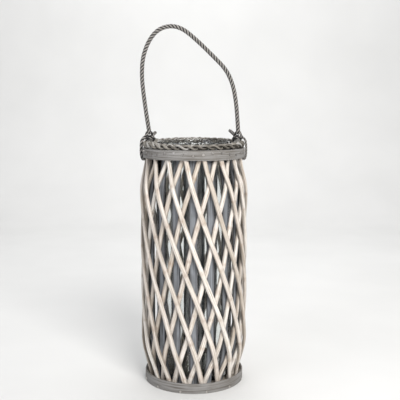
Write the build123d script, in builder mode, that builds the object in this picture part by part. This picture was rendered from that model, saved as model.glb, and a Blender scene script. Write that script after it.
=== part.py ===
from build123d import *

import os
from math import cos, exp, pi, radians, sin, tan

# Hurricane candle lantern: a willow lattice cage between a base hoop and a rim hoop, a glass cylinder
# that lifts out of it, and a rope handle tied over the rim.
# Millimetres. The origin is on the table under the lantern's axis, +Z up, the front towards -Y.

# Hoops and base
rim_radius = 100.0
rim_top = 466.0
rim_band_height = 18.7
base_radius = 98.2
base_hoop_height = 19.7
hoop_thickness = 3.0
lining_thickness = 2.8
lining_gap = 1.0
hoop_edge = 0.8
fit_gap = 0.4
board_thickness = 12.0
socket_depth = 6.0
socket_play = 0.2

# Lattice: slats standing inside two layers of rods, wound opposite ways
stave_count = 17
rod_width = 8.6
rod_thickness = 6.8
slat_width = 16.5
slat_thickness = 3.0
layer_gap = 0.5
slat_gap = 0.8
spacings_wound = 4.0
crossing_top = 461.0
crossing_foot = 3.0
tip_height = 465.0
station_count = 16
sway = 3.0
lean = 1.5

# Bulge of the cage
foot_radius = 90.5
belly_radius = 105.5
foot_rise = 90.0
neck_start = 385.0
shoulder_swell = 0.8
shoulder_height = 372.0
shoulder_spread = 25.0

# Wicker border on the rim
border_radius = 88.0
border_width = 23.0
border_height = 14.2

# Glass cylinder
glass_radius = 72.0
glass_wall = 4.0
glass_bottom = 9.0
glass_height = 466.0
glass_heel = 4.0
glass_lift_gap = 0.3

# Nails
nail_shank = 1.8
nail_head = 4.4
nail_head_height = 0.9
rim_nail_length = 23.0
base_nail_length = 13.0
base_nail_count = 12
base_nail_height = 3.6
base_nail_start = -75.0
nail_play = 0.1

# Rope
rope_diameter = 8.0
tie_diameter = 5.0
tie_offset = -3.2
tie_play = 0.4
rope_bend = 0.45
pivot_height = 496.0
handle_route = [
    (-87.0, pivot_height),
    (-91.0, 521.0),
    (-97.0, 565.0),
    (-100.8, 604.0),
    (-98.5, 640.0),
    (-87.0, 671.0),
    (-70.0, 692.0),
    (-46.0, 700.5),
    (-21.0, 695.0),
    (8.0, 671.0),
    (38.0, 642.0),
    (65.0, 618.0),
    (78.0, 590.0),
    (82.5, 555.0),
    (85.5, 522.0),
    (87.0, pivot_height),
]
knot_reach = 85.0
knot_radius = 8.5
knot_half_height = 5.0
tie_rise = 2.0
tail_diameter = 7.0
right_tail = [(83.0, 2.0, 487.5), (78.0, 14.0, 493.5), (71.0, 27.0, 498.5)]
left_tail = [(-83.0, 2.0, 487.5), (-79.5, 10.0, 491.5), (-75.5, 18.0, 495.0)]

# Worked out from the sizes above
spacing = 360.0 / stave_count
rim_band_bottom = rim_top - rim_band_height
neck_radius = rim_radius - hoop_thickness - fit_gap
straight_foot = board_thickness + 1.0
foot_end = board_thickness - socket_depth + socket_play
outer_depth = rod_thickness / 2
inner_depth = outer_depth + rod_thickness + layer_gap
slat_depth = inner_depth + rod_thickness / 2 + slat_gap + slat_thickness / 2
slat_angles = [-90.0 + spacing * number for number in range(stave_count)]
tip_angles = [angle + spacing / 2 for angle in slat_angles]
lining_outside = neck_radius - slat_depth - slat_thickness / 2 - lining_gap
border_centre = rim_top + fit_gap + border_height / 2
knot_height = border_centre + border_height / 2 + knot_half_height + fit_gap
tie_outside = rim_radius + fit_gap + tie_diameter / 2
tie_inside = neck_radius - 2 * fit_gap - tie_diameter / 2 - 1.0
tie_under = rim_band_bottom - tie_diameter / 2 - 1.5
station_step = (tip_height - straight_foot) / station_count
station_heights = [foot_end] + [straight_foot + station_step * step for step in range(station_count + 1)]


def envelope(height):
    """Outside radius of the cage: drawn in at the foot and under the rim, full between them."""
    foot = sin(pi / 2 * min(height / foot_rise, 1.0)) ** 2
    share = (height - neck_start) / (rim_band_bottom - neck_start)
    neck = sin(pi / 2 * min(max(share, 0.0), 1.0)) ** 2
    swell = shoulder_swell * exp(-(((height - shoulder_height) / shoulder_spread) ** 2))
    rise = (belly_radius - foot_radius) * foot
    return foot_radius + rise - (belly_radius - neck_radius) * neck + swell


def rod_point(tip_angle, turn, depth, height):
    """Centre of a rod at a height. Turn is +1 for the outer layer and -1 for the inner one."""
    level = min(max(height, straight_foot), crossing_top)
    share = (crossing_top - level) / (crossing_top - crossing_foot)
    drift = lean * share - sway * sin(2 * pi * share)
    angle = radians(tip_angle + turn * spacings_wound * spacing * share + drift)
    radius = envelope(level) - depth
    return Vector(radius * cos(angle), radius * sin(angle), height)


def radial_plane(angle, radius, height):
    """A plane facing straight out from the axis, its x direction along the hoop."""
    turn = radians(angle)
    outward = Vector(cos(turn), sin(turn), 0)
    along = Vector(-sin(turn), cos(turn), 0)
    return Plane(origin=(radius * outward) + Vector(0, 0, height), x_dir=along, z_dir=outward)


def rod_plane(tip_angle, turn, depth, height):
    """Section plane of a rod, z along the rod and x across it; an outer rod's is its mirror image in XZ."""
    here, above, below = (
        rod_point(tip_angle, turn, depth, level) for level in (height, height + 2, height - 2)
    )
    along = above - below
    across = along.cross(Vector(here.X, here.Y, 0))
    if turn > 0:
        here, along, across = (Vector(vector.X, -vector.Y, vector.Z) for vector in (here, along, across))
    return Plane(origin=here, x_dir=across, z_dir=along)


def rim_nail_height(angle):
    """Rim nails sit a little above and below one line, as a hammer leaves them."""
    return rim_top - rim_band_height * (0.4 + 0.14 * sin(radians(7 * angle)))


def nail_holes(planes, length):
    """Cut the nails' holes into the part being built."""
    with Locations(*planes):
        Cylinder(
            nail_shank / 2 + nail_play,
            length,
            align=(Align.CENTER, Align.CENTER, Align.MAX),
            mode=Mode.SUBTRACT,
        )


def nail_solids(planes, length):
    """Add a headed nail at each plane, its head standing on the hoop."""
    with Locations(*planes):
        Cylinder(nail_shank / 2, length, align=(Align.CENTER, Align.CENTER, Align.MAX))
        Cylinder(nail_head / 2, nail_head_height, align=(Align.CENTER, Align.CENTER, Align.MIN))


def bend_radii(route):
    """The largest arc that each corner of a rope's route has room for."""
    radii = []
    for before, corner, after in zip(route, route[1:], route[2:]):
        arriving = Vector(*corner) - Vector(*before)
        leaving = Vector(*after) - Vector(*corner)
        half_turn = radians(arriving.get_angle(leaving)) / 2
        radii.append(rope_bend * min(arriving.length, leaving.length) / tan(half_turn))
    return radii


def save(part, name):
    """Label a finished piece and write its STEP file."""
    part.label = name
    export_step(part, f"parts/{name}.step")


rim_nail_planes = [
    radial_plane(angle, rim_radius, rim_nail_height(angle)) for angle in slat_angles + tip_angles
]
base_nail_planes = [
    radial_plane(base_nail_start + number * 360.0 / base_nail_count, base_radius, base_nail_height)
    for number in range(base_nail_count)
]

os.makedirs("parts", exist_ok=True)

# Base board: a flat disc with a socket in its top for the foot of each slat and each rod.
rod_feet = [
    rod_point(angle, turn, depth, board_thickness)
    for angle in tip_angles
    for turn, depth in ((1, outer_depth), (-1, inner_depth))
]
with BuildPart() as base_board:
    Cylinder(
        base_radius - hoop_thickness - fit_gap,
        board_thickness,
        align=(Align.CENTER, Align.CENTER, Align.MIN),
    )
    with BuildSketch(Plane.XY.offset(board_thickness)):
        with PolarLocations(
            envelope(straight_foot) - slat_depth, stave_count, start_angle=slat_angles[0]
        ):
            Rectangle(slat_thickness + 2 * socket_play, slat_width + 2 * socket_play)
        with Locations(*rod_feet):
            Circle(rod_width / 2 + socket_play)
    extrude(amount=-socket_depth, mode=Mode.SUBTRACT)
    nail_holes(base_nail_planes, hoop_thickness + base_nail_length)
save(base_board.part, "base_board")

# Bent-wood hoops: the base hoop round the board, and the rim band and its lining, which hold the ends of
# the cage between them.
hoops = {
    "base_hoop": (base_radius - hoop_thickness, base_radius, 0.0, base_hoop_height),
    "rim_band": (rim_radius - hoop_thickness, rim_radius, rim_band_bottom, rim_band_height),
    "rim_lining": (lining_outside - lining_thickness, lining_outside, rim_band_bottom, rim_band_height),
}
for name, (inside, outside, bottom, height) in hoops.items():
    with BuildPart() as hoop:
        with BuildSketch(Plane.XZ):
            with Locations(((inside + outside) / 2, bottom + height / 2)):
                RectangleRounded(outside - inside, height, hoop_edge)
        revolve(axis=Axis.Z)
        if name == "base_hoop":
            nail_holes(base_nail_planes, 2 * hoop_thickness)
        else:
            nail_holes(rim_nail_planes, rim_nail_length + 2)
    save(hoop.part, name)

# Nails: one at each slat and each pair of rods round the rim, and a ring of them round the base hoop.
with BuildPart() as nails:
    nail_solids(rim_nail_planes, rim_nail_length)
    nail_solids(base_nail_planes, base_nail_length)
save(nails.part, "nails")

# Slats: flat, bowed with the cage, one at a time round the axis.
for number, angle in enumerate(slat_angles, 1):
    outward = radial_plane(angle, 0, 0).z_dir
    with BuildPart() as slat:
        with BuildSketch(Plane(origin=(0, 0, 0), x_dir=outward, z_dir=outward.cross(Vector(0, 0, 1)))):
            with BuildLine():
                middle = [(envelope(max(level, straight_foot)) - slat_depth, level) for level in station_heights]
                face = Spline(*[(radius + slat_thickness / 2, level) for radius, level in middle])
                back = Spline(*[(radius - slat_thickness / 2, level) for radius, level in middle])
                Line(face @ 0, back @ 0)
                Line(face @ 1, back @ 1)
            make_face()
        extrude(amount=slat_width / 2, both=True)
        nail_holes([radial_plane(angle, rim_radius, rim_nail_height(angle))], rim_nail_length + 2)
    save(slat.part, f"slat_{number:02d}")

# Rods: oval willow, lofted through sections along each winding line. An outer rod is lofted as its own
# mirror image and then mirrored back, which keeps the loft from twisting.
for layer, turn, depth in (("outer_rod", 1, outer_depth), ("inner_rod", -1, inner_depth)):
    for number, angle in enumerate(tip_angles, 1):
        with BuildPart() as rod:
            for height in station_heights:
                with BuildSketch(rod_plane(angle, turn, depth, height)):
                    Ellipse(rod_width / 2, rod_thickness / 2)
            loft()
            if turn > 0:
                mirror(about=Plane.XZ, mode=Mode.REPLACE)
            nail_holes([radial_plane(angle, rim_radius, rim_nail_height(angle))], rim_nail_length + 2)
        save(rod.part, f"{layer}_{number:02d}")

# Wicker border: the plait's outer shape, lying on the rim, open where the rope's ties go through it.
with BuildPart() as rim_border:
    with BuildSketch(Plane.XZ):
        with Locations((border_radius, border_centre)):
            Ellipse(border_width / 2, border_height / 2)
    revolve(axis=Axis.Z)
    with Locations((tie_inside, tie_offset, rim_top), (-tie_inside, tie_offset, rim_top)):
        Cylinder(
            tie_diameter / 2 + tie_play,
            2 * border_height,
            align=(Align.CENTER, Align.CENTER, Align.MIN),
            mode=Mode.SUBTRACT,
        )
save(rim_border.part, "rim_border")

# Glass cylinder: a straight vase with a heavy bottom, standing loose on the board.
glass_foot = board_thickness + glass_lift_gap
with BuildPart() as glass_cylinder:
    with BuildSketch(Plane.XZ):
        with BuildLine():
            Polyline(
                (0, glass_foot),
                (glass_radius, glass_foot),
                (glass_radius, glass_foot + glass_height),
                (glass_radius - glass_wall, glass_foot + glass_height),
                (glass_radius - glass_wall, glass_foot + glass_bottom),
                (0, glass_foot + glass_bottom),
                close=True,
            )
        wall = make_face()
        fillet(wall.vertices().group_by(Axis.Y)[-1], glass_wall / 2 - 0.1)
        corners = wall.vertices().filter_by(lambda corner: corner.Z < rim_top / 2 and corner.X > 1)
        fillet(corners, glass_heel)
    revolve(axis=Axis.Z)
save(glass_cylinder.part, "glass_cylinder")

# Rope handle: the arch between the two knots, with a rounded end over each knot on the axis it swings about.
handle_points = [(x, 0, z) for x, z in handle_route]
handle_radii = bend_radii(handle_points)
with BuildPart() as handle_rope:
    with BuildLine() as handle_line:
        FilletPolyline(*handle_points, radius=handle_radii)
    with BuildSketch(Plane(origin=handle_line.line @ 0, z_dir=handle_line.line % 0)):
        Circle(rope_diameter / 2)
    sweep()
    handle_tube_volume = handle_rope.part.volume
    with Locations(handle_points[0], handle_points[-1]):
        Sphere(rope_diameter / 2)
save(handle_rope.part, "handle_rope")

# Rope ends: on each side the rope goes round the rim band, through the border, and into a knot on top.
with BuildPart() as rope_ends:
    for side, tail in ((-1, left_tail), (1, right_tail)):
        tie_route = [
            (side * knot_reach, 0, knot_height + tie_rise),
            (side * (knot_reach + 10.5), tie_offset / 2, knot_height + tie_rise),
            (side * tie_outside, tie_offset, border_centre + tie_rise),
            (side * tie_outside, tie_offset, tie_under),
            (side * tie_inside, tie_offset, tie_under),
            (side * tie_inside, tie_offset, knot_height - 3.6),
        ]
        for route, diameter in ((tie_route, tie_diameter), (tail, tail_diameter)):
            with BuildLine() as route_line:
                FilletPolyline(*route, radius=bend_radii(route))
            with BuildSketch(Plane(origin=route_line.line @ 0, z_dir=route_line.line % 0)):
                Circle(diameter / 2)
            sweep()
        with Locations((side * knot_reach, 0, knot_height)):
            Cylinder(knot_radius, 2 * knot_half_height)
save(rope_ends.part, "rope_ends")

length = sum(edge.length for edge in handle_line.edges())
section = pi * rope_diameter**2 / 4
print("handle rope radii", [round(radius, 1) for radius in handle_radii])
print("handle rope length", round(length, 1), "volume over section x length", handle_tube_volume / section / length)
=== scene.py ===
import math
import random

import bmesh
import bpy
from bpy.props import FloatProperty, FloatVectorProperty, IntProperty, PointerProperty
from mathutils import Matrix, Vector, noise


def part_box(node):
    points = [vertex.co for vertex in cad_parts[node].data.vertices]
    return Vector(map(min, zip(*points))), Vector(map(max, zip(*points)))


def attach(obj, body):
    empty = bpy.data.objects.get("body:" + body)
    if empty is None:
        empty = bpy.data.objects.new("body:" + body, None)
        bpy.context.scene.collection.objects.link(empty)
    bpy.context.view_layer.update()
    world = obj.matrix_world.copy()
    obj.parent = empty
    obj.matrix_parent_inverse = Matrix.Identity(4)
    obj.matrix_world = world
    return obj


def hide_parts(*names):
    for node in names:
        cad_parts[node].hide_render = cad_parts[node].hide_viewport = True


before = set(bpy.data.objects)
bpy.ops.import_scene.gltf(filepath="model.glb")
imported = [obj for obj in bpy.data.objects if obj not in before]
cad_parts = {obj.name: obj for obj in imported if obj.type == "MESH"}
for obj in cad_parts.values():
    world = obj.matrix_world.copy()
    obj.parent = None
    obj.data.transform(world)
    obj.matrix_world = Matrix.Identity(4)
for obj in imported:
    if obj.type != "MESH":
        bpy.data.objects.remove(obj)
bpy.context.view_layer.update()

bl_info = {
    "name": "Willow Candle Lantern",
    "version": (1, 0, 0),
    "blender": (4, 5, 0),
    "location": "View3D > Sidebar > Lantern",
    "description": "Builds a candle lantern of willow rods, old slats and bent wood round a glass cylinder",
    "category": "Add Mesh",
}

# The cage, in metres and radians: two layers of rods wind opposite ways down a barrel-shaped envelope.
STAVES = 17
SPACING = 2 * math.pi / STAVES
FRONT = -math.pi / 2
FOOT_RADIUS, BELLY_RADIUS, NECK_RADIUS = 0.0905, 0.1055, 0.0966
FOOT_RISE, NECK_START, BAND_BOTTOM = 0.090, 0.385, 0.4473
SHOULDER_SWELL, SHOULDER_HEIGHT, SHOULDER_SPREAD = 0.0008, 0.372, 0.025
# The rods wind from the top crossing towards the foot one, and stand upright below STRAIGHT_FOOT.
CROSSING_TOP, CROSSING_FOOT, STRAIGHT_FOOT = 0.461, 0.003, 0.013
SPACINGS_WOUND = 4
SWAY, LEAN = math.radians(3.0), math.radians(1.5)
ROD_DEPTH = {"outer": 0.0034, "inner": 0.0107}
SLAT_DEPTH = 0.0164
TIP_HEIGHT, FOOT_END = 0.465, 0.0062

# One rod: taper and fullness, knots, bark and painted shade along the edges, and the part of its height that
# is free to stray.
ROD_TAPER, ROD_FULLNESS = 0.10, 0.10
SCAR_REACH, SCAR_SWELL = 0.0032, 0.15
BARK_AND_SHADE_FROM, BARK_AND_SHADE_MOST = 0.7, 0.8
FREE_FROM, FREE_LENGTH = 0.02, 0.42

# The hoops, by node: name, outside radius, bottom, top, thickness and seed.
RIM_TOP = 0.466
HOOPS = {
    "base_hoop": ("bent_base_hoop", 0.0982, 0.0, 0.0197, 0.003, 2.0),
    "rim_band": ("bent_rim_band", 0.100, BAND_BOTTOM, RIM_TOP, 0.003, 11.0),
    "rim_lining": ("bent_rim_lining", 0.0777, BAND_BOTTOM, RIM_TOP, 0.0028, 23.0),
}
# A hoop's ends lie over each other along its lap. The shares of its thickness: a feathered end, and the gap.
LAP, LAP_ANGLE = 0.075, math.radians(62)
FEATHER, SCARF_GAP = 0.06, 0.04

# The border: how far a strand swings in and out and over and under, and how much more it rises behind.
BORDER_RADIUS, BORDER_HEIGHT = 0.088, 0.4732
PLAIT_SWING, PLAIT_RISE = 0.0062, 0.0042
RAISED_BEHIND, LOOSER_BEHIND = 0.0020, 0.0010
STEPS_PER_PERIOD, LENGTHS_PIECED, ROD_PITCH = 24, 7, 1.12

# The handle's line, from one pivot over the knots to the other. The rope goes on about 4 mm below each.
HANDLE_ROUTE = [
    (-0.087, 0.0, 0.496), (-0.091, 0.0, 0.521), (-0.097, 0.0, 0.565), (-0.1008, 0.0, 0.604),
    (-0.0985, 0.0, 0.640), (-0.087, 0.0, 0.671), (-0.070, 0.0, 0.692), (-0.046, 0.0, 0.7005),
    (-0.021, 0.0, 0.695), (0.008, 0.0, 0.671), (0.038, 0.0, 0.642), (0.0625, 0.0, 0.6175),
    (0.0760, 0.0, 0.5895), (0.0825, 0.0, 0.555), (0.0855, 0.0, 0.522), (0.087, 0.0, 0.496),
]

# The right-hand tie: its loop over the border and round the band, the arm inside, and both sides' cut tails.
TIE_ROUTE = [
    (0.0905, 0.0, 0.4972), (0.0925, -0.0010, 0.4885), (0.0985, -0.0024, 0.4840), (0.1028, -0.0032, 0.4780),
    (0.1029, -0.0032, 0.4433), (0.0923, -0.0032, 0.4433), (0.0923, -0.0032, 0.4824),
]
INNER_ARM_ROUTE = [
    (0.0835, 0.0, 0.4972), (0.0800, 0.0, 0.4890), (0.0772, -0.001, 0.4820), (0.0795, -0.001, 0.4750),
]
TAIL_ROUTES = {
    "left": [(-0.083, 0.002, 0.4875), (-0.0795, 0.010, 0.4915), (-0.0755, 0.018, 0.495)],
    "right": [(0.083, 0.002, 0.4875), (0.078, 0.014, 0.4935), (0.071, 0.027, 0.4985)],
}

# Ropes: the length in which a strand goes once round (a tie's is in diameters), the reach of the rounding at
# an end, the distance between rings, and the diameters.
HANDLE_LAY, TAIL_LAY, THIN_LAY, TIE_LAY = 0.0215, 0.017, 0.012, 2.6
HANDLE_DOME, TAIL_DOME, TIE_DOME = 0.004, 0.0015, 0.002
HANDLE_RINGS, TIE_RINGS = 0.0013, 0.0012
TAIL_DIAMETER, ARM_DIAMETER, COIL_DIAMETER = 0.0066, 0.0048, 0.0046
# A knot's rope winds down and outwards for the share KNOT_DOWN of its length, then climbs back inside.
KNOT_TURNS, KNOT_STEPS, KNOT_DOWN = 3.4, 110, 0.65
KNOT_REACH, KNOT_TOP, KNOT_RADIUS = 0.085, 0.4889, 0.0030
KNOT_SPREAD, KNOT_TUCK, KNOT_DROP, KNOT_CLIMB = 0.0060, 0.0052, 0.0058, 0.0006

# The lights: name, place, target, size, power and colour.
MIDDLE = (0.0, 0.0, 0.30)
LIGHTS = (
    ("key_light", (0.8, -2.0, 1.6), MIDDLE, 1.1, 68, "#fffdfa"),
    ("fill_light", (-1.7, -1.5, 1.1), MIDDLE, 1.4, 13, "#f4f7ff"),
    ("wall_light", (0.0, 1.0, 2.4), (0.0, 2.6, 0.9), 1.2, 34, "#ffffff"),
    ("top_light", (0.2, 0.5, 2.2), MIDDLE, 1.8, 16, "#ffffff"),
)

# The sockets of a colour Mix node, which share their names with its other kinds.
FACTOR, FIRST, SECOND, MIXED = 0, 6, 7, 2


def linear(code):
    """Turn an sRGB hex colour into linear red, green, blue and alpha."""
    parts = [int(code[place:place + 2], 16) / 255 for place in (1, 3, 5)]
    return tuple(c / 12.92 if c <= 0.04045 else ((c + 0.055) / 1.055) ** 2.4 for c in parts) + (1.0,)


# ---------------------------------------------------------------- sizes and colours


def length_setting(name, description, default):
    """Make one length setting, in metres."""
    return FloatProperty(
        name=name, description=description, default=default, unit="LENGTH", subtype="DISTANCE", precision=4)


class LanternSizes(bpy.types.PropertyGroup):
    """Sizes of the pieces that are woven, bent or twisted."""

    rod_width: length_setting("Rod width", "Width of a willow rod across its length", 0.0093)
    rod_thickness: length_setting("Rod thickness", "Thickness of a willow rod from front to back", 0.0067)
    slat_width: length_setting("Slat width", "Width of an upright slat", 0.0165)
    slat_thickness: length_setting("Slat thickness", "Thickness of an upright slat", 0.003)
    wander: length_setting("Wander", "How far a hand-split rod strays sideways from its line", 0.0016)
    wicker_rod: length_setting("Wicker rod", "Diameter of a rod in the plaited border", 0.0036)
    plait_periods: IntProperty(
        name="Plait periods", description="Times that each strand of the border crosses over and back",
        default=12, min=4)
    rope_diameter: length_setting("Rope diameter", "Diameter of the handle rope", 0.0084)
    left_tie: length_setting(
        "Left tie", "Diameter of the rope that ties the left end of the handle", 0.0066)
    right_tie: length_setting(
        "Right tie", "Diameter of the rope that ties the right end of the handle", 0.0044)


def colour_setting(name, description, code):
    """Make one colour setting with its hex default."""
    return FloatVectorProperty(
        name=name, description=description, default=linear(code), size=4, subtype="COLOR", min=0.0, max=1.0)


class LanternColours(bpy.types.PropertyGroup):
    """Main colours of the finishes."""

    willow: colour_setting("Peeled willow", "Colour of the peeled rods", "#e8e4df")
    slat: colour_setting("Old slats", "Colour of the weathered slats", "#8b8f95")
    bent_wood: colour_setting("Bent wood", "Colour of the bent hoops", "#878583")
    wicker: colour_setting("Wicker", "Colour of the plaited border", "#bab9b6")
    board: colour_setting("Base board", "Colour of the base board", "#8b8378")
    steel: colour_setting("Nail steel", "Colour of the nails", "#cfccc8")
    glass: colour_setting("Glass", "Tint of the glass cylinder", "#fbfdfc")
    rope_light: colour_setting("Rope, light", "Colour of the light strands", "#938f8b")
    rope_dark: colour_setting("Rope, dark", "Colour of the dark strands", "#171616")
    floor: colour_setting("Floor", "Colour of the floor and backdrop", "#d9d9d8")


# ---------------------------------------------------------------- materials


def add_node(material, kind, inputs=None, stops=None, **settings):
    """Add a node with its settings, its ramp stops, and a value or a feeding socket for each input named."""
    tree = material.node_tree
    node = tree.nodes.new(kind)
    for name, value in settings.items():
        setattr(node, name, value)
    if stops:
        ramp = node.color_ramp.elements
        ends = (ramp[0], ramp[1])
        for element, (place, colour) in zip(ends, (stops[0], stops[-1])):
            element.position = place
            element.color = colour
        for place, colour in stops[1:-1]:
            ramp.new(place).color = colour
    for name, value in (inputs or {}).items():
        if isinstance(value, bpy.types.NodeSocket):
            tree.links.new(value, node.inputs[name])
        else:
            node.inputs[name].default_value = value
    return node


def start_material(name, roughness):
    """Make a material and return it with its shader."""
    material = bpy.data.materials.new(name)
    material.use_nodes = True
    shader = material.node_tree.nodes["Principled BSDF"]
    shader.inputs["Roughness"].default_value = roughness
    return material, shader


def shaded(colour, share):
    """Return a colour made darker (share under 1) or lighter."""
    return tuple(min(part * share, 1.0) for part in colour[:3]) + (1.0,)


def stored(material, name, output="Fac"):
    """Read what is stored under a name for each vertex."""
    return add_node(material, "ShaderNodeAttribute", attribute_name=name).outputs[output]


def stretched_noise(material, place, sizes, detail, roughness):
    """Add noise over a position, with its own size along each axis."""
    stretched = add_node(material, "ShaderNodeMapping", {
        "Vector": place, "Scale": tuple(1 / size for size in sizes)})
    noisy = add_node(material, "ShaderNodeTexNoise", {
        "Vector": stretched.outputs["Vector"], "Scale": 1.0, "Detail": detail, "Roughness": roughness})
    return noisy.outputs["Fac"]


def mix_colours(material, share, first, second, blend="MIX"):
    """Blend a second colour into a first by a share, and return the socket of the result."""
    mix = add_node(
        material, "ShaderNodeMix", {FACTOR: share, FIRST: first, SECOND: second},
        data_type="RGBA", blend_type=blend)
    return mix.outputs[MIXED]


def set_colour(material, shader, colour):
    """Let a socket give the shader its colour."""
    material.node_tree.links.new(colour, shader.inputs["Base Color"])


def add_relief(material, shader, pattern, strength, depth):
    """Raise the surface a little where a pattern is high."""
    bump = add_node(material, "ShaderNodeBump", {
        "Height": pattern, "Strength": strength, "Distance": depth})
    material.node_tree.links.new(bump.outputs["Normal"], shader.inputs["Normal"])


def grained_wood(name, colour, dark, streak, patch, relief, roughness):
    """Start a wood: streaks along the piece, broad patches, each stick's own tone, and a fine relief.

    streak is the width and length of one streak, patch the size of one patch, relief the depth of the grain.
    """
    material, shader = start_material(name, roughness)
    place = stored(material, "stick", "Vector")
    width, length = streak
    streaks = stretched_noise(material, place, (width, width, length), 4.0, 0.6)
    patches = add_node(material, "ShaderNodeTexNoise", {"Vector": place, "Scale": 1 / patch, "Detail": 2.0})
    streaked = add_node(
        material, "ShaderNodeValToRGB", {"Fac": streaks},
        stops=[(0.37, dark), (0.51, colour), (0.68, shaded(colour, 1.14))])
    patch_share = add_node(material, "ShaderNodeMapRange", {
        "Value": patches.outputs["Fac"], "From Min": 0.45, "From Max": 0.75, "To Min": 0.0, "To Max": 0.55})
    patched = mix_colours(
        material, patch_share.outputs["Result"], streaked.outputs["Color"], shaded(dark, 1.25))
    tone_share = add_node(material, "ShaderNodeMapRange", {
        "Value": stored(material, "tone"), "To Min": 0.72, "To Max": 1.0})
    toned = mix_colours(material, 1.0, patched, tone_share.outputs["Result"], "MULTIPLY")
    set_colour(material, shader, toned)
    add_relief(material, shader, streaks, 0.6, relief)
    return material, shader, toned


def peeled_willow(colours):
    """Peeled willow: a pale satin skin, faint long grain, brown shoot scars, and bark with painted shade
    along the edges.
    """
    material, shader, wood = grained_wood(
        "peeled_willow", tuple(colours.willow), linear("#b4aa9c"),
        streak=(0.0016, 0.045), patch=0.030, relief=0.0002, roughness=0.48)
    scar_share = add_node(
        material, "ShaderNodeMath", {0: stored(material, "knot"), 1: 0.75}, operation="MULTIPLY")
    scarred = mix_colours(material, scar_share.outputs["Value"], wood, linear("#8d6f52"))
    # Partly bark, partly painted shade: the sides of each rod grow darker towards #736c63, where shade falls
    # on a rounded rod.
    bark_and_shaded = mix_colours(material, stored(material, "bark"), scarred, linear("#736c63"))
    hues = ((0.0, "#d9d3cc"), (0.3, "#efe8e0"), (0.6, "#f9f4f0"), (1.0, "#ffffff"))
    hue = add_node(
        material, "ShaderNodeValToRGB", {"Fac": stored(material, "tone")},
        stops=[(place, linear(code)) for place, code in hues])
    set_colour(material, shader, mix_colours(material, 1.0, bark_and_shaded, hue.outputs["Color"], "MULTIPLY"))
    return material


def weathered_slat(colours):
    """Weathered softwood: silver grey gone blue, dull, with dark raised grain and painted shade along its
    long edges.
    """
    material, shader, wood = grained_wood(
        "weathered_slat", tuple(colours.slat), linear("#535457"),
        streak=(0.0022, 0.090), patch=0.040, relief=0.0005, roughness=0.78)
    from_middle = add_node(
        material, "ShaderNodeMath", {0: stored(material, "edge")}, operation="ABSOLUTE")
    # Painted shade: each slat's long edges grow darker towards #2c2b2b, for the shadow in the gaps between
    # slats.
    edge_shade = add_node(material, "ShaderNodeMapRange", {
        "Value": from_middle.outputs["Value"], "From Min": 0.55, "From Max": 1.0,
        "To Min": 0.0, "To Max": 0.85})
    set_colour(material, shader, mix_colours(material, edge_shade.outputs["Result"], wood, linear("#2c2b2b")))
    return material


def bent_wood(colours):
    """Steam-bent ash: grey-brown and dry, with grain that runs round the hoop."""
    return grained_wood(
        "bent_wood", tuple(colours.bent_wood), linear("#5e5953"),
        streak=(0.0024, 0.080), patch=0.035, relief=0.0004, roughness=0.72)[0]


def wicker(colours):
    """Unpeeled wicker: dull bark between grey and brown, each length a shade of its own."""
    material, shader, wood = grained_wood(
        "wicker", tuple(colours.wicker), linear("#625f5a"),
        streak=(0.0014, 0.030), patch=0.022, relief=0.0003, roughness=0.66)
    varied = add_node(
        material, "ShaderNodeValToRGB", {"Fac": stored(material, "tone")},
        stops=[(0.0, linear("#857d74")), (0.5, linear("#c9c3ba")), (1.0, linear("#ffffff"))])
    set_colour(material, shader, mix_colours(material, 1.0, wood, varied.outputs["Color"], "MULTIPLY"))
    return material


def base_board_wood(colours):
    """Sawn softwood board: brown-grey, dry, with straight grain along X."""
    material, shader = start_material("base_board_wood", 0.75)
    place = add_node(material, "ShaderNodeTexCoord").outputs["Object"]
    grain = stretched_noise(material, place, (0.090, 0.003, 0.003), 5.0, 0.6)
    wood = add_node(
        material, "ShaderNodeValToRGB", {"Fac": grain},
        stops=[(0.30, linear("#4d463e")), (0.52, tuple(colours.board)), (0.72, linear("#a79f94"))])
    set_colour(material, shader, wood.outputs["Color"])
    add_relief(material, shader, grain, 0.6, 0.0005)
    return material


def nail_steel(colours):
    """Bright drawn steel, a little tarnished: small hard glints with brown specks of rust."""
    material, shader = start_material("nail_steel", 0.32)
    shader.inputs["Metallic"].default_value = 1.0
    place = add_node(material, "ShaderNodeTexCoord").outputs["Object"]
    specks = add_node(material, "ShaderNodeTexNoise", {"Vector": place, "Scale": 1 / 0.0012, "Detail": 3.0})
    tarnish = add_node(
        material, "ShaderNodeValToRGB", {"Fac": specks.outputs["Fac"]},
        stops=[(0.36, linear("#5d4a3c")), (0.50, tuple(colours.steel)), (0.70, linear("#b8b5b1"))])
    set_colour(material, shader, tarnish.outputs["Color"])
    return material


def clear_glass(colours):
    """Clear soda glass: see-through, with sharp white reflections and faint dust that dulls it in patches."""
    material, shader = start_material("clear_glass", 0.02)
    shader.inputs["Base Color"].default_value = tuple(colours.glass)
    shader.inputs["Transmission Weight"].default_value = 1.0
    shader.inputs["IOR"].default_value = 1.5
    place = add_node(material, "ShaderNodeTexCoord").outputs["Object"]
    dust = add_node(material, "ShaderNodeTexNoise", {"Vector": place, "Scale": 1 / 0.035, "Detail": 4.0})
    dulled = add_node(material, "ShaderNodeMapRange", {
        "Value": dust.outputs["Fac"], "From Min": 0.40, "From Max": 0.80, "To Min": 0.01, "To Max": 0.09})
    material.node_tree.links.new(dulled.outputs["Result"], shader.inputs["Roughness"])
    return material


def rope_fibre(name, colour, dark):
    """Twisted cotton and jute strand: matt, with fine fibres that run along the strand."""
    material, shader = start_material(name, 0.9)
    shader.inputs["Sheen Weight"].default_value = 0.15
    place = stored(material, "stick", "Vector")
    fibres = stretched_noise(material, place, (0.0006, 0.0006, 0.006), 3.0, 0.5)
    strand = add_node(
        material, "ShaderNodeValToRGB", {"Fac": fibres},
        stops=[(0.30, dark), (0.52, colour), (0.75, shaded(colour, 1.25))])
    set_colour(material, shader, strand.outputs["Color"])
    add_relief(material, shader, fibres, 0.7, 0.0002)
    return material


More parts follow.
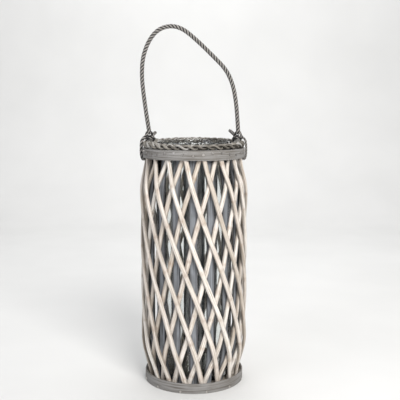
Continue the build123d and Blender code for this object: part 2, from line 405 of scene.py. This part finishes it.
def painted_floor(colours):
    """Matt emulsion on board: pale and even, with a faint mottle."""
    material, shader = start_material("painted_floor", 0.85)
    place = add_node(material, "ShaderNodeTexCoord").outputs["Object"]
    mottle = add_node(material, "ShaderNodeTexNoise", {"Vector": place, "Scale": 1 / 0.25, "Detail": 2.0})
    paint = add_node(
        material, "ShaderNodeValToRGB", {"Fac": mottle.outputs["Fac"]},
        stops=[(0.3, shaded(tuple(colours.floor), 0.96)), (0.7, tuple(colours.floor))])
    set_colour(material, shader, paint.outputs["Color"])
    return material


# ---------------------------------------------------------------- modelling by hand


def start_edit(piece):
    """Select only this piece and open it in edit mode."""
    bpy.ops.object.select_all(action="DESELECT")
    piece.select_set(True)
    bpy.context.view_layer.objects.active = piece
    bpy.ops.object.mode_set(mode="EDIT")


def pick(piece, kind, test):
    """In edit mode, select just the edges or faces that pass the test."""
    bpy.ops.mesh.select_mode(type="EDGE" if kind == "edges" else "FACE")
    bpy.ops.mesh.select_all(action="DESELECT")
    mesh = bmesh.from_edit_mesh(piece.data)
    for part in [part for part in getattr(mesh, kind) if test(part)]:
        part.select_set(True)
    bmesh.update_edit_mesh(piece.data)


def runs_along(axis, length):
    """Return a test for edges that run along an axis for at least half the length."""
    return lambda edge: abs(edge.verts[0].co[axis] - edge.verts[1].co[axis]) > length / 2


def finish_piece(piece, body, nodes, materials, sharp=40):
    """Give a piece its finish, outward faces, smooth shading but for sharp edges, and its body and nodes."""
    for material in materials:
        piece.data.materials.append(material)
    start_edit(piece)
    bpy.ops.mesh.select_all(action="SELECT")
    bpy.ops.mesh.normals_make_consistent(inside=False)
    bpy.ops.object.mode_set(mode="OBJECT")
    bpy.ops.object.shade_smooth_by_angle(angle=math.radians(sharp))
    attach(piece, body)
    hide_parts(*nodes)
    return piece


def own_copy(model, name):
    """Copy a model as a piece with its own mesh."""
    piece = model.copy()
    piece.data = model.data.copy()
    piece.name = name
    piece.data.name = name
    bpy.context.scene.collection.objects.link(piece)
    return piece


def write_attribute(piece, name, kind, values):
    """Store one value for each vertex."""
    attribute = piece.data.attributes.new(name, kind, "POINT")
    field = "vector" if kind == "FLOAT_VECTOR" else "value"
    flat = [part for value in values for part in value] if kind == "FLOAT_VECTOR" else list(values)
    attribute.data.foreach_set(field, flat)


def envelope(height):
    """Outside radius of the cage at a height: narrow foot, full belly, and a neck under the rim band."""
    foot = math.sin(math.pi / 2 * min(height / FOOT_RISE, 1.0)) ** 2
    share = (height - NECK_START) / (BAND_BOTTOM - NECK_START)
    neck = math.sin(math.pi / 2 * min(max(share, 0.0), 1.0)) ** 2
    swell = SHOULDER_SWELL * math.exp(-(((height - SHOULDER_HEIGHT) / SHOULDER_SPREAD) ** 2))
    return FOOT_RADIUS + (BELLY_RADIUS - FOOT_RADIUS) * foot - (BELLY_RADIUS - NECK_RADIUS) * neck + swell


def ripple(place, seed, size):
    """A smooth random number from about -1 to 1 that changes over a distance of the given size."""
    return noise.noise(Vector((place / size, seed * 3.7, seed * 1.3)))


# ---------------------------------------------------------------- slats


def straight_slat(sizes):
    """Model one straight slat from a bar: long edges rounded over, and cut into short lengths for bending."""
    length = TIP_HEIGHT - FOOT_END
    bpy.ops.object.select_all(action="DESELECT")
    bpy.ops.mesh.primitive_cube_add(
        size=1, location=(0, 0, FOOT_END + length / 2),
        scale=(sizes.slat_width, sizes.slat_thickness, length))
    model = bpy.context.object
    bpy.ops.object.transform_apply(location=True, rotation=True, scale=True)
    start_edit(model)
    pick(model, "edges", runs_along(2, length))
    bpy.ops.mesh.bevel(offset=0.0007, segments=2, affect="EDGES")
    pick(model, "edges", runs_along(2, length))
    bpy.ops.mesh.subdivide(number_cuts=70)
    bpy.ops.object.mode_set(mode="OBJECT")
    return model


def bow_slat(piece, number, sizes):
    """Bend a straight slat to the inside of the rods, with wavy hand-split edges."""
    draw = random.Random(500 + number)
    tone = draw.uniform(0.0, 1.0)
    twist = draw.uniform(-0.02, 0.02)
    angle = FRONT + (number - 1) * SPACING
    outward = Vector((math.cos(angle), math.sin(angle), 0.0))
    sideways = Vector((-math.sin(angle), math.cos(angle), 0.0))
    stick = []
    from_middle = []
    for vertex in piece.data.vertices:
        across, through, height = vertex.co
        stick.append((across + 0.4 * number, through, height))
        from_middle.append(2 * across / sizes.slat_width)
        side = 1 if across > 0 else -1
        splintered = 0.03 * ripple(height, number + 0.5 * side, 0.018)
        wavy = 0.05 * ripple(height, number + side, 0.12)
        across *= 0.96 + (splintered + wavy)
        lean = twist * math.sin(math.pi * height / TIP_HEIGHT)
        radius = envelope(max(height, STRAIGHT_FOOT)) - SLAT_DEPTH - through
        vertex.co = outward * (radius + across * lean) + sideways * across + Vector((0.0, 0.0, height))
    write_attribute(piece, "stick", "FLOAT_VECTOR", stick)
    write_attribute(piece, "tone", "FLOAT", [tone] * len(stick))
    write_attribute(piece, "edge", "FLOAT", from_middle)


class LANTERN_OT_slats(bpy.types.Operator):
    """Make the upright slats that stand behind the rods"""

    bl_idname = "lantern.slats"
    bl_label = "Slats"

    def execute(self, context):
        sizes = context.scene.lantern_sizes
        finish = weathered_slat(context.scene.lantern_colours)
        model = straight_slat(sizes)
        for number in range(1, STAVES + 1):
            piece = own_copy(model, f"old_slat_{number:02d}")
            bow_slat(piece, number, sizes)
            finish_piece(piece, "cage", [f"slat_{number:02d}"], [finish])
        bpy.data.objects.remove(model)
        return {"FINISHED"}


# ---------------------------------------------------------------- rods


def straight_rod(sizes):
    """Model one straight oval rod from a cylinder: ends rounded over, and cut into short lengths."""
    length = TIP_HEIGHT - FOOT_END
    bpy.ops.object.select_all(action="DESELECT")
    bpy.ops.mesh.primitive_cylinder_add(
        vertices=12, radius=0.5, depth=length, location=(0, 0, FOOT_END + length / 2),
        scale=(sizes.rod_width, sizes.rod_thickness, 1))
    model = bpy.context.object
    bpy.ops.object.transform_apply(location=True, rotation=True, scale=True)
    start_edit(model)
    pick(model, "edges", lambda edge: not runs_along(2, length)(edge))
    bpy.ops.mesh.bevel(offset=0.0018, segments=3, affect="EDGES")
    pick(model, "edges", runs_along(2, length))
    bpy.ops.mesh.subdivide(number_cuts=99)
    bpy.ops.object.mode_set(mode="OBJECT")
    return model


def rod_point(tip_angle, turn, depth, height):
    """Middle of a rod at a height, as it winds down from its tip: turn is 1 in the outer layer, -1 inside."""
    level = min(max(height, STRAIGHT_FOOT), CROSSING_TOP)
    share = (CROSSING_TOP - level) / (CROSSING_TOP - CROSSING_FOOT)
    drift = LEAN * share - SWAY * math.sin(2 * math.pi * share)
    angle = tip_angle + turn * SPACINGS_WOUND * SPACING * share + drift
    radius = envelope(level) - depth
    return Vector((radius * math.cos(angle), radius * math.sin(angle), height))


def knot_places(draw):
    """Heights of the knots along one rod."""
    places = [draw.uniform(0.02, 0.07)]
    while places[-1] < TIP_HEIGHT:
        places.append(places[-1] + draw.uniform(0.05, 0.10))
    return places


def wind_rod(piece, number, layer, sizes):
    """Wind a straight rod round the cage, with knots, a thinner tip, and a little wander of its own."""
    turn = 1 if layer == "outer" else -1
    draw = random.Random(100 * number + turn)
    seed = draw.uniform(0, 50)
    tone = draw.uniform(0.0, 1.0) ** 0.6
    shift = draw.uniform(-1.5, 1.5)
    knots = knot_places(draw)
    tip_angle = FRONT + (number - 0.5) * SPACING
    depth = ROD_DEPTH[layer]
    step = 0.0005
    stick = []
    scars = []
    bark = []
    for vertex in piece.data.vertices:
        across, through, height = vertex.co
        # Bark and painted shade: darker towards both sides of the rod, in patches.
        edge = max(abs(across) / (sizes.rod_width / 2) - BARK_AND_SHADE_FROM, 0.0) / (1 - BARK_AND_SHADE_FROM)
        patchy = 0.45 + 0.9 * ripple(height, seed + 20 + (across > 0), 0.06)
        bark.append(edge * min(max(patchy, 0.0), BARK_AND_SHADE_MOST))
        near = max(math.exp(-((height - place) / SCAR_REACH) ** 2) for place in knots)
        stick.append((across + seed, through, height))
        scars.append(near * (0.5 + 0.5 * ripple(math.atan2(through, across), seed, 1.1)))
        middle = rod_point(tip_angle, turn, depth, height)
        along = (rod_point(tip_angle, turn, depth, height + step) - rod_point(
            tip_angle, turn, depth, height - step)).normalized()
        outward = Vector((middle.x, middle.y, 0.0)).normalized()
        outward = (outward - along * outward.dot(along)).normalized()
        sideways = outward.cross(along)
        free = math.sin(math.pi * min(max((height - FREE_FROM) / FREE_LENGTH, 0.0), 1.0)) ** 0.7
        stray = shift + 1.5 * ripple(height, seed, 0.16) + 0.5 * ripple(height, seed, 0.05)
        thinner = 1.05 - ROD_TAPER * height / TIP_HEIGHT + 0.10 * ripple(height, seed + 9, 0.09)
        swollen = 1 + SCAR_SWELL * near
        squarer = (abs(across) / sizes.rod_width + abs(through) / sizes.rod_thickness) * 2
        fuller = 1 + ROD_FULLNESS * max(squarer - 1, 0.0)
        middle += sideways * (sizes.wander * free * stray + across * fuller * thinner * swollen)
        vertex.co = middle + outward * through * fuller * min(thinner, 1.0)
    write_attribute(piece, "stick", "FLOAT_VECTOR", stick)
    write_attribute(piece, "tone", "FLOAT", [tone] * len(stick))
    write_attribute(piece, "knot", "FLOAT", scars)
    write_attribute(piece, "bark", "FLOAT", bark)


class LANTERN_OT_rods(bpy.types.Operator):
    """Make the two layers of willow rods that wind round the cage"""

    bl_idname = "lantern.rods"
    bl_label = "Willow rods"

    def execute(self, context):
        sizes = context.scene.lantern_sizes
        finish = peeled_willow(context.scene.lantern_colours)
        model = straight_rod(sizes)
        for layer in ROD_DEPTH:
            for number in range(1, STAVES + 1):
                piece = own_copy(model, f"willow_{layer}_{number:02d}")
                wind_rod(piece, number, layer, sizes)
                finish_piece(piece, "cage", [f"{layer}_rod_{number:02d}"], [finish])
        bpy.data.objects.remove(model)
        return {"FINISHED"}


# ---------------------------------------------------------------- hoops


def bent_hoop(name, outside, low, high, thickness, seed):
    """Model a hoop: a straight bar wound once round, with both ends feathered to make a scarf joint."""
    middle = outside - thickness / 2
    length = 2 * math.pi * middle + LAP
    height = high - low
    bpy.ops.object.select_all(action="DESELECT")
    bpy.ops.mesh.primitive_cube_add(
        size=1, location=(length / 2, 0, low + height / 2), scale=(length, thickness, height))
    hoop = bpy.context.object
    hoop.name = name
    hoop.data.name = name
    bpy.ops.object.transform_apply(location=True, rotation=True, scale=True)
    start_edit(hoop)
    pick(hoop, "edges", runs_along(0, length))
    bpy.ops.mesh.bevel(offset=0.0006, segments=2, affect="EDGES")
    pick(hoop, "edges", runs_along(0, length))
    bpy.ops.mesh.subdivide(number_cuts=99)
    pick(hoop, "edges", runs_along(0, length / 60))
    bpy.ops.mesh.subdivide(number_cuts=1)
    bpy.ops.object.mode_set(mode="OBJECT")
    stick = []
    for vertex in hoop.data.vertices:
        along, through, level = vertex.co
        stick.append((through + seed, level, along))
        share = through / thickness + 0.5
        start = min(along / LAP, 1.0)
        end = min(max((along - (length - LAP)) / LAP, 0.0), 1.0)
        share *= FEATHER + (1 - FEATHER - SCARF_GAP) * start + SCARF_GAP * (start >= 1.0)
        if end > 0.0:
            under = FEATHER + SCARF_GAP + (1 - FEATHER - 2 * SCARF_GAP) * end
            share = under + (1.0 - under) * share
        uneven = 0.0007 * ripple(along, seed + (1 if level > low + height / 2 else 5), 0.09)
        wave = 0.0003 * ripple(along, seed + 3, 0.05)
        angle = LAP_ANGLE - along / middle
        radius = outside - thickness * (1.0 - share) + wave
        edge_share = (level - low) / height
        level += uneven * edge_share if low == 0.0 else uneven * (1 if edge_share < 0.5 else -0.3)
        vertex.co = (radius * math.cos(angle), radius * math.sin(angle), max(level, 0.0))
    write_attribute(hoop, "stick", "FLOAT_VECTOR", stick)
    write_attribute(hoop, "tone", "FLOAT", [0.85] * len(stick))
    return hoop


class LANTERN_OT_hoops(bpy.types.Operator):
    """Make the bent wooden hoops: the base hoop, the rim band and the lining inside it"""

    bl_idname = "lantern.hoops"
    bl_label = "Bent wood hoops"

    def execute(self, context):
        finish = bent_wood(context.scene.lantern_colours)
        for node, shape in HOOPS.items():
            finish_piece(bent_hoop(*shape), "cage", [node], [finish])
        return {"FINISHED"}


# ---------------------------------------------------------------- tubes along a line


def sweep(mesh, points, outwards, radii, sides, closed, tones, seed, material_index=0):
    """Add a round tube along points; outwards gives each ring its own direction, so the tube never twists."""
    stick = mesh.verts.layers.float_vector.get("stick") or mesh.verts.layers.float_vector.new("stick")
    shade = mesh.verts.layers.float.get("tone") or mesh.verts.layers.float.new("tone")
    count = len(points)
    rings = []
    travelled = 0.0
    for place in range(count):
        before = points[place - 1] if closed or place else points[0]
        after = points[(place + 1) % count] if closed or place < count - 1 else points[-1]
        along = (after - before).normalized()
        outward = (outwards[place] - along * outwards[place].dot(along)).normalized()
        sideways = along.cross(outward)
        if place:
            travelled += (points[place] - points[place - 1]).length
        ring = []
        for side in range(sides):
            angle = 2 * math.pi * side / sides
            local = (radii[place] * math.cos(angle), radii[place] * math.sin(angle))
            vertex = mesh.verts.new(points[place] + outward * local[0] + sideways * local[1])
            vertex[stick] = (local[0] + seed, local[1], travelled)
            vertex[shade] = tones[place]
            ring.append(vertex)
        rings.append(ring)
    for place in range(count if closed else count - 1):
        ring, following = rings[place], rings[(place + 1) % count]
        for side in range(sides):
            beyond = (side + 1) % sides
            face = mesh.faces.new((ring[side], ring[beyond], following[beyond], following[side]))
            face.material_index = material_index
    if not closed:
        for ring in (rings[0], rings[-1]):
            mesh.faces.new(ring).material_index = material_index


def mesh_piece(name, mesh):
    """Turn finished mesh code into a piece."""
    data = bpy.data.meshes.new(name)
    mesh.to_mesh(data)
    mesh.free()
    piece = bpy.data.objects.new(name, data)
    bpy.context.scene.collection.objects.link(piece)
    return piece


# ---------------------------------------------------------------- plaited border


def plait_point(angle, phase, periods):
    """Middle of one strand of a three-strand plait, which runs round the rim and rises a little behind."""
    turn = periods * angle + phase
    behind = math.sin(angle)
    radius = BORDER_RADIUS + PLAIT_SWING * math.sin(turn)
    rise = (PLAIT_RISE + LOOSER_BEHIND * behind) * math.sin(2 * turn)
    height = BORDER_HEIGHT + RAISED_BEHIND * behind + rise
    return Vector((radius * math.cos(angle), radius * math.sin(angle), height))


class LANTERN_OT_border(bpy.types.Operator):
    """Make the plaited wicker border on top of the rim"""

    bl_idname = "lantern.border"
    bl_label = "Plaited border"

    def execute(self, context):
        sizes = context.scene.lantern_sizes
        periods = sizes.plait_periods
        steps = periods * STEPS_PER_PERIOD
        ahead_by = 0.004
        mesh = bmesh.new()
        for strand in range(3):
            phase = 2 * math.pi * strand / 3
            for place_in_strand in (-1, 0, 1):
                draw = random.Random(40 + 10 * strand + place_in_strand)
                seed = draw.uniform(0, 50)
                points = []
                outwards = []
                radii = []
                for step in range(steps):
                    angle = 2 * math.pi * step / steps
                    wobble = 0.012 * noise.noise(Vector((math.cos(angle), math.sin(angle), seed)) * 3)
                    middle = plait_point(angle + wobble, phase, periods)
                    ahead = plait_point(angle + wobble + ahead_by, phase, periods) - middle
                    sideways = ahead.cross(Vector((0, 0, 1))).normalized()
                    rough = noise.noise(Vector((math.cos(angle), math.sin(angle), seed + 7)) * 8)
                    middle += sideways * sizes.wicker_rod * ROD_PITCH * place_in_strand
                    middle.z += 0.0009 * rough
                    points.append(middle)
                    outwards.append(Vector((math.cos(angle), math.sin(angle), 0.0)))
                    radii.append(sizes.wicker_rod / 2 * (1.0 + 0.10 * rough))
                shades = [draw.random() for _ in range(LENGTHS_PIECED)]
                lengths = [int(LENGTHS_PIECED * (step / steps + seed / 50)) for step in range(steps)]
                tones = [shades[length % LENGTHS_PIECED] for length in lengths]
                sweep(mesh, points, outwards, radii, 8, True, tones, seed)
        border = mesh_piece("wicker_border", mesh)
        finish = wicker(context.scene.lantern_colours)
        finish_piece(border, "cage", ["rim_border"], [finish])
        return {"FINISHED"}


# ---------------------------------------------------------------- glass


class LANTERN_OT_glass(bpy.types.Operator):
    """Make the glass cylinder with its thick floor and fire-rounded lip"""

    bl_idname = "lantern.glass"
    bl_label = "Glass cylinder"

    def execute(self, context):
        low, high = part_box("glass_cylinder")
        wall, floor, height = 0.004, 0.009, high.z - low.z
        bpy.ops.object.select_all(action="DESELECT")
        bpy.ops.mesh.primitive_cylinder_add(
            vertices=96, radius=(high.x - low.x) / 2, depth=height, location=(0, 0, low.z + height / 2))
        glass = bpy.context.object
        glass.name = "glass_chimney"
        glass.data.name = "glass_chimney"
        bpy.ops.object.transform_apply(location=True, rotation=True, scale=True)
        start_edit(glass)
        pick(glass, "faces", lambda face: face.normal.z > 0.9)
        bpy.ops.mesh.inset(thickness=wall)
        bpy.ops.mesh.extrude_region_move(TRANSFORM_OT_translate={"value": (0, 0, floor - height)})
        for level, inside, width, rounds in (
                (high.z, False, 0.0018, 3), (high.z, True, 0.0018, 3),
                (low.z, False, 0.0040, 4), (low.z + floor, True, 0.0025, 3)):
            radius = (high.x - low.x) / 2 - (wall if inside else 0.0)
            pick(glass, "edges", lambda edge: all(
                abs(end.co.z - level) < 1e-4 and abs(end.co.xy.length - radius) < 4e-4 for end in edge.verts))
            bpy.ops.mesh.bevel(offset=width, segments=rounds, affect="EDGES")
        bpy.ops.object.mode_set(mode="OBJECT")
        finish = clear_glass(context.scene.lantern_colours)
        finish_piece(glass, "glass", ["glass_cylinder"], [finish])
        return {"FINISHED"}


# ---------------------------------------------------------------- ropes


def distances_along(line):
    """Distance of each point of a line from its start, measured along the line."""
    distances = [0.0]
    for before, after in zip(line, line[1:]):
        distances.append(distances[-1] + (after - before).length)
    return distances


def smooth_line(route, spacing):
    """Lay a NURBS line along a route and return evenly spaced points on it."""
    curve = bpy.data.curves.new("route", "CURVE")
    curve.dimensions = "3D"
    curve.resolution_u = 24
    spline = curve.splines.new("NURBS")
    spline.points.add(len(route) - 1)
    for point, place in zip(spline.points, route):
        point.co = (*place, 1.0)
    spline.order_u = 3
    spline.use_endpoint_u = True
    holder = bpy.data.objects.new("route", curve)
    laid = bpy.data.meshes.new_from_object(holder)
    line = [vertex.co.copy() for vertex in laid.vertices]
    bpy.data.objects.remove(holder)
    bpy.data.curves.remove(curve)
    bpy.data.meshes.remove(laid)
    distances = distances_along(line)
    count = max(round(distances[-1] / spacing), 4)
    points = []
    place = 0
    for number in range(count + 1):
        wanted = distances[-1] * number / count
        while place < len(line) - 2 and distances[place + 1] < wanted:
            place += 1
        share = (wanted - distances[place]) / max(distances[place + 1] - distances[place], 1e-9)
        points.append(line[place].lerp(line[place + 1], share))
    return points


def add_rope(mesh, line, diameter, strands, lay, seed, dome, light_every=2):
    """Twist strands right-handed round a line, one light in every light_every, and round off both ends."""
    spread = math.sin(math.pi / strands)
    ring = diameter / 2 / (1 + spread)
    thickness = ring * spread * 1.06
    last = len(line) - 1
    tangents = [(line[min(n + 1, last)] - line[max(n - 1, 0)]).normalized() for n in range(len(line))]
    sides = []
    side = tangents[0].orthogonal().normalized()
    for tangent in tangents:
        side = (side - tangent * side.dot(tangent)).normalized()
        sides.append(side.copy())
    distances = distances_along(line)
    for strand in range(strands):
        points = []
        outwards = []
        radii = []
        for place, point in enumerate(line):
            travelled = distances[place]
            angle = 2 * math.pi * (strand / strands + travelled / lay)
            outward = sides[place] * math.cos(angle) + tangents[place].cross(sides[place]) * math.sin(angle)
            end = min(travelled, distances[-1] - travelled)
            full = math.sqrt(max(1 - (1 - end / dome) ** 2, 0.06)) if end < dome else 1.0
            loose = 1 + 0.05 * ripple(travelled, seed + strand, 0.02)
            points.append(point + outward * ring * full * loose)
            outwards.append(outward)
            radii.append(thickness * (0.45 + 0.55 * full))
        sweep(mesh, points, outwards, radii, 6, False, [0.5] * len(points), seed + strand,
              0 if strand % light_every == 0 else 1)


def rope_materials(colours):
    """The dark and the light strands of the two-tone rope."""
    return [
        rope_fibre("twisted_rope_light", tuple(colours.rope_light), linear("#7f7a74")),
        rope_fibre("twisted_rope_dark", tuple(colours.rope_dark), linear("#0c0c0b")),
    ]


def knot_point(side, share):
    """Middle of the rope in a knot: turns that widen downwards like a tent, then climb back inside."""
    angle = 2 * math.pi * KNOT_TURNS * share
    down = min(share / KNOT_DOWN, 1.0)
    back = max(share - KNOT_DOWN, 0.0) / (1 - KNOT_DOWN)
    radius = KNOT_RADIUS + KNOT_SPREAD * down - KNOT_TUCK * back
    height = KNOT_TOP - KNOT_DROP * down + KNOT_CLIMB * back
    return Vector((side * KNOT_REACH + radius * math.cos(angle), radius * math.sin(angle), height))


class LANTERN_OT_rope_ends(bpy.types.Operator):
    """Make the two ties that hold the handle: a knot on the rim, a loop round the band and a tail"""

    bl_idname = "lantern.rope_ends"
    bl_label = "Rope ends"

    def execute(self, context):
        sizes = context.scene.lantern_sizes
        finishes = rope_materials(context.scene.lantern_colours)
        for name, side, tie in (("left", -1, sizes.left_tie), ("right", 1, sizes.right_tie)):
            seed = 60 + 5 * side
            mesh = bmesh.new()
            loop = smooth_line([(x * side, y, z) for x, y, z in TIE_ROUTE], TIE_RINGS)
            add_rope(mesh, loop, tie, 4, TIE_LAY * tie, seed, TIE_DOME)
            arm = smooth_line([(x * side, y, z) for x, y, z in INNER_ARM_ROUTE], TIE_RINGS)
            add_rope(mesh, arm, ARM_DIAMETER, 4, THIN_LAY, seed + 7, TIE_DOME, light_every=4)
            tail = smooth_line(TAIL_ROUTES[name], TIE_RINGS)
            add_rope(mesh, tail, TAIL_DIAMETER, 6, TAIL_LAY, seed + 14, TAIL_DOME)
            coil = [knot_point(side, step / KNOT_STEPS) for step in range(KNOT_STEPS + 1)]
            add_rope(mesh, coil, COIL_DIAMETER, 4, THIN_LAY, seed + 21, TIE_DOME, light_every=4)
            piece = mesh_piece(f"rope_tie_{name}", mesh)
            finish_piece(piece, "cage", ["rope_ends"], finishes, sharp=60)
        return {"FINISHED"}


class LANTERN_OT_handle(bpy.types.Operator):
    """Make the arched rope handle that swings on the two ties"""

    bl_idname = "lantern.handle"
    bl_label = "Rope handle"

    def execute(self, context):
        diameter = context.scene.lantern_sizes.rope_diameter
        line = smooth_line(HANDLE_ROUTE, HANDLE_RINGS)
        for end, inner in ((0, 1), (-1, -2)):
            outward = (line[end] - line[inner]).normalized() * diameter / 6
            beyond = [line[end] + outward * step for step in (1, 2, 3)]
            line = beyond[::-1] + line if end == 0 else line + beyond
        mesh = bmesh.new()
        add_rope(mesh, line, diameter, 6, HANDLE_LAY, 80, HANDLE_DOME)
        rope = mesh_piece("handle_arch", mesh)
        finishes = [bpy.data.materials["twisted_rope_light"], bpy.data.materials["twisted_rope_dark"]]
        finish_piece(rope, "handle", ["handle_rope"], finishes, sharp=60)
        return {"FINISHED"}


# ---------------------------------------------------------------- base board and nails


class LANTERN_OT_board_and_nails(bpy.types.Operator):
    """Give the base board and the nails their finishes"""

    bl_idname = "lantern.board_and_nails"
    bl_label = "Base board and nails"

    def execute(self, context):
        colours = context.scene.lantern_colours
        for node, finish in (("base_board", base_board_wood(colours)), ("nails", nail_steel(colours))):
            for material_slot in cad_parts[node].material_slots:
                material_slot.material = finish
        return {"FINISHED"}


# ---------------------------------------------------------------- stage


def add_area_light(name, place, target, size, power, colour):
    """Add one square soft light that faces a target."""
    data = bpy.data.lights.new(name, "AREA")
    data.size = size
    data.energy = power
    data.color = linear(colour)[:3]
    light = bpy.data.objects.new(name, data)
    light.location = place
    light.rotation_euler = (Vector(target) - Vector(place)).to_track_quat("-Z", "Y").to_euler()
    bpy.context.scene.collection.objects.link(light)


class LANTERN_OT_stage(bpy.types.Operator):
    """Make the floor and backdrop, the studio lights and the camera"""

    bl_idname = "lantern.stage"
    bl_label = "Stage"

    def execute(self, context):
        bpy.ops.object.select_all(action="DESELECT")
        bpy.ops.mesh.primitive_plane_add(size=6, location=(0, -0.4, 0))
        floor = context.object
        floor.name = "studio_floor"
        bpy.ops.object.transform_apply(location=True, rotation=True, scale=True)
        start_edit(floor)
        pick(floor, "edges", lambda edge: all(end.co.y > 2.0 for end in edge.verts))
        bpy.ops.mesh.extrude_region_move(TRANSFORM_OT_translate={"value": (0, 0, 3.0)})
        pick(floor, "edges", lambda edge: all(end.co.y > 2.0 and end.co.z < 0.1 for end in edge.verts))
        bpy.ops.mesh.bevel(offset=0.9, segments=16, affect="EDGES")
        bpy.ops.object.mode_set(mode="OBJECT")
        bpy.ops.object.shade_smooth()
        floor.data.materials.append(painted_floor(context.scene.lantern_colours))
        for light in LIGHTS:
            add_area_light(*light)
        world = bpy.data.worlds.new("pale_room")
        world.use_nodes = True
        background = world.node_tree.nodes["Background"]
        background.inputs["Color"].default_value = linear("#f4f5f7")
        background.inputs["Strength"].default_value = 0.34
        context.scene.world = world
        context.scene.view_settings.view_transform = "Standard"
        data = bpy.data.cameras.new("camera")
        data.lens = 66.6
        data.sensor_width = 36
        camera = bpy.data.objects.new("camera", data)
        camera.location = (0.0123, -1.4538, 0.5533)
        camera.rotation_euler = (math.radians(82.5), 0.0, 0.0)
        context.scene.collection.objects.link(camera)
        context.scene.camera = camera
        return {"FINISHED"}


# ---------------------------------------------------------------- add-on


class LANTERN_PT_build(bpy.types.Panel):
    """Buttons and settings for the lantern"""

    bl_idname = "LANTERN_PT_build"
    bl_label = "Willow Candle Lantern"
    bl_space_type = "VIEW_3D"
    bl_region_type = "UI"
    bl_category = "Lantern"

    def draw(self, context):
        layout = self.layout
        for operator in OPERATORS:
            layout.operator(operator.bl_idname)
        for settings in (context.scene.lantern_sizes, context.scene.lantern_colours):
            column = layout.column()
            for name in settings.bl_rna.properties.keys():
                if name not in {"rna_type", "name"}:
                    column.prop(settings, name)


OPERATORS = (
    LANTERN_OT_slats, LANTERN_OT_rods, LANTERN_OT_hoops, LANTERN_OT_border, LANTERN_OT_glass,
    LANTERN_OT_rope_ends, LANTERN_OT_handle, LANTERN_OT_board_and_nails, LANTERN_OT_stage,
)
CLASSES = (LanternSizes, LanternColours, *OPERATORS, LANTERN_PT_build)


def register():
    for item in CLASSES:
        bpy.utils.register_class(item)
    bpy.types.Scene.lantern_sizes = PointerProperty(type=LanternSizes)
    bpy.types.Scene.lantern_colours = PointerProperty(type=LanternColours)


def unregister():
    del bpy.types.Scene.lantern_colours
    del bpy.types.Scene.lantern_sizes
    for item in reversed(CLASSES):
        bpy.utils.unregister_class(item)


def main():
    """Build every piece in order."""
    register()
    bpy.ops.lantern.stage()
    bpy.ops.lantern.rope_ends()
    bpy.ops.lantern.handle()
    bpy.ops.lantern.slats()
    bpy.ops.lantern.rods()
    bpy.ops.lantern.hoops()
    bpy.ops.lantern.border()
    bpy.ops.lantern.glass()
    bpy.ops.lantern.board_and_nails()


if __name__ == "__main__":
    main()
